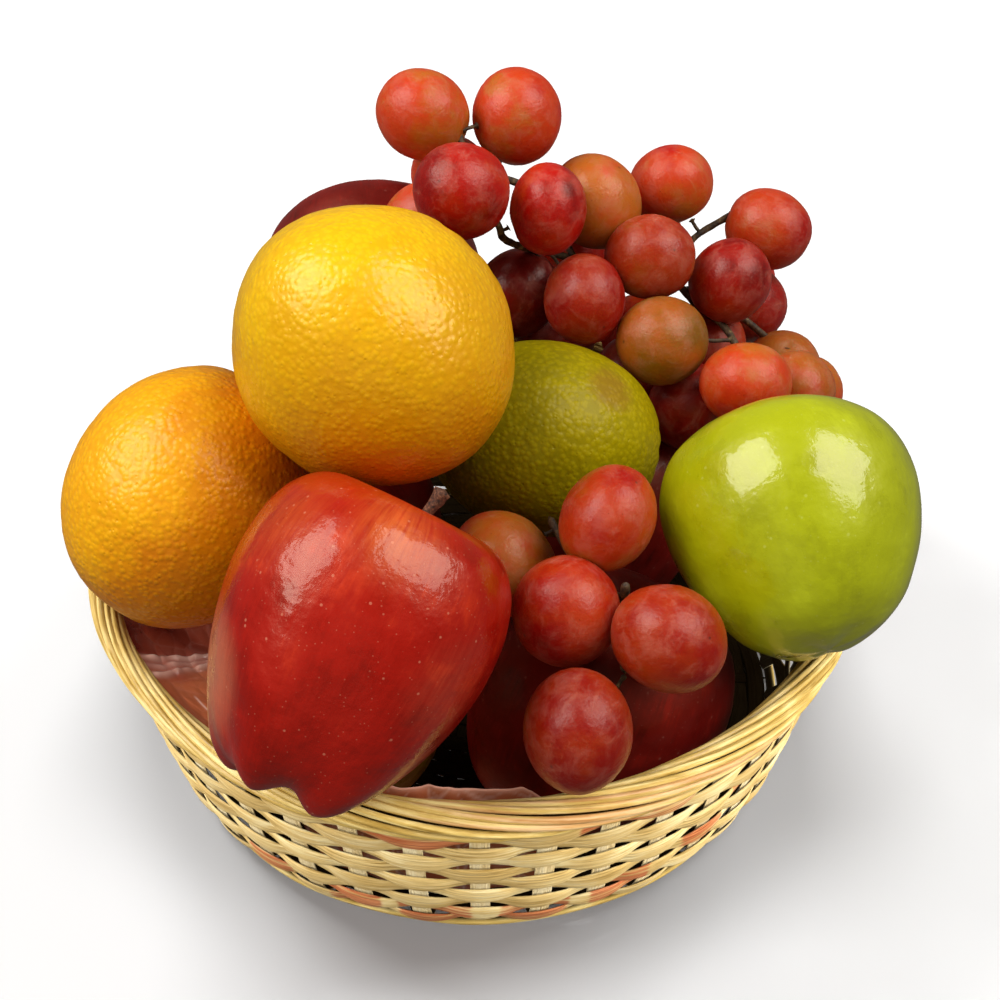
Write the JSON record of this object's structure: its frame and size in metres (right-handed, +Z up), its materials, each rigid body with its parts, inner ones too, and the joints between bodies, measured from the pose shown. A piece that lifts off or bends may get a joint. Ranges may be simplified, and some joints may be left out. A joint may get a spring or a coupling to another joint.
{
  "type": "fruit gift basket",
  "caption": "Round woven basket with a twisted reed border and a film liner, heaped with oranges, apples, a lime and bunches of red grapes.",
  "frame": {"origin": "centre of the flat underside of the basket", "axes": "+Z up, -Y towards the side the picture shows, +X to the right of that view"},
  "size_m": [0.2356, 0.2598, 0.1812],
  "materials": {
    "straw": "woven straw",
    "pale_reed": "smooth split reed",
    "clear_film": "clear crumpled film",
    "orange_skin": "waxed pitted peel",
    "yellow_orange_skin": "waxed pitted peel",
    "lime_skin": "satin pitted peel",
    "olive_skin": "satin peel",
    "green_apple_skin": "waxed",
    "red_apple_skin": "waxed",
    "dark_red_apple_skin": "waxed",
    "grape_skin": "satin with a dusty bloom",
    "stem_bark": "rough dry bark"
  },
  "bodies": {
    "root": {"basket_base": "straw", "basket_wall": "straw", "basket_rim": "pale_reed", "film_liner": "clear_film", "orange_left": "orange_skin", "orange_top": "yellow_orange_skin", "lime": "lime_skin", "fruit_low_left": "olive_skin", "apple_green": "green_apple_skin", "apple_red_front": "red_apple_skin", "apple_red_back": "dark_red_apple_skin", "apple_red_low": "dark_red_apple_skin", "apple_low_left": "dark_red_apple_skin", "apple_low_right": "dark_red_apple_skin", "apple_red_front_stem": "stem_bark", "apple_green_stem": "stem_bark", "apple_red_back_stem": "stem_bark", "grape_bunch_upper": "grape_skin", "grape_bunch_lower": "grape_skin"}
  },
  "joints": []
}
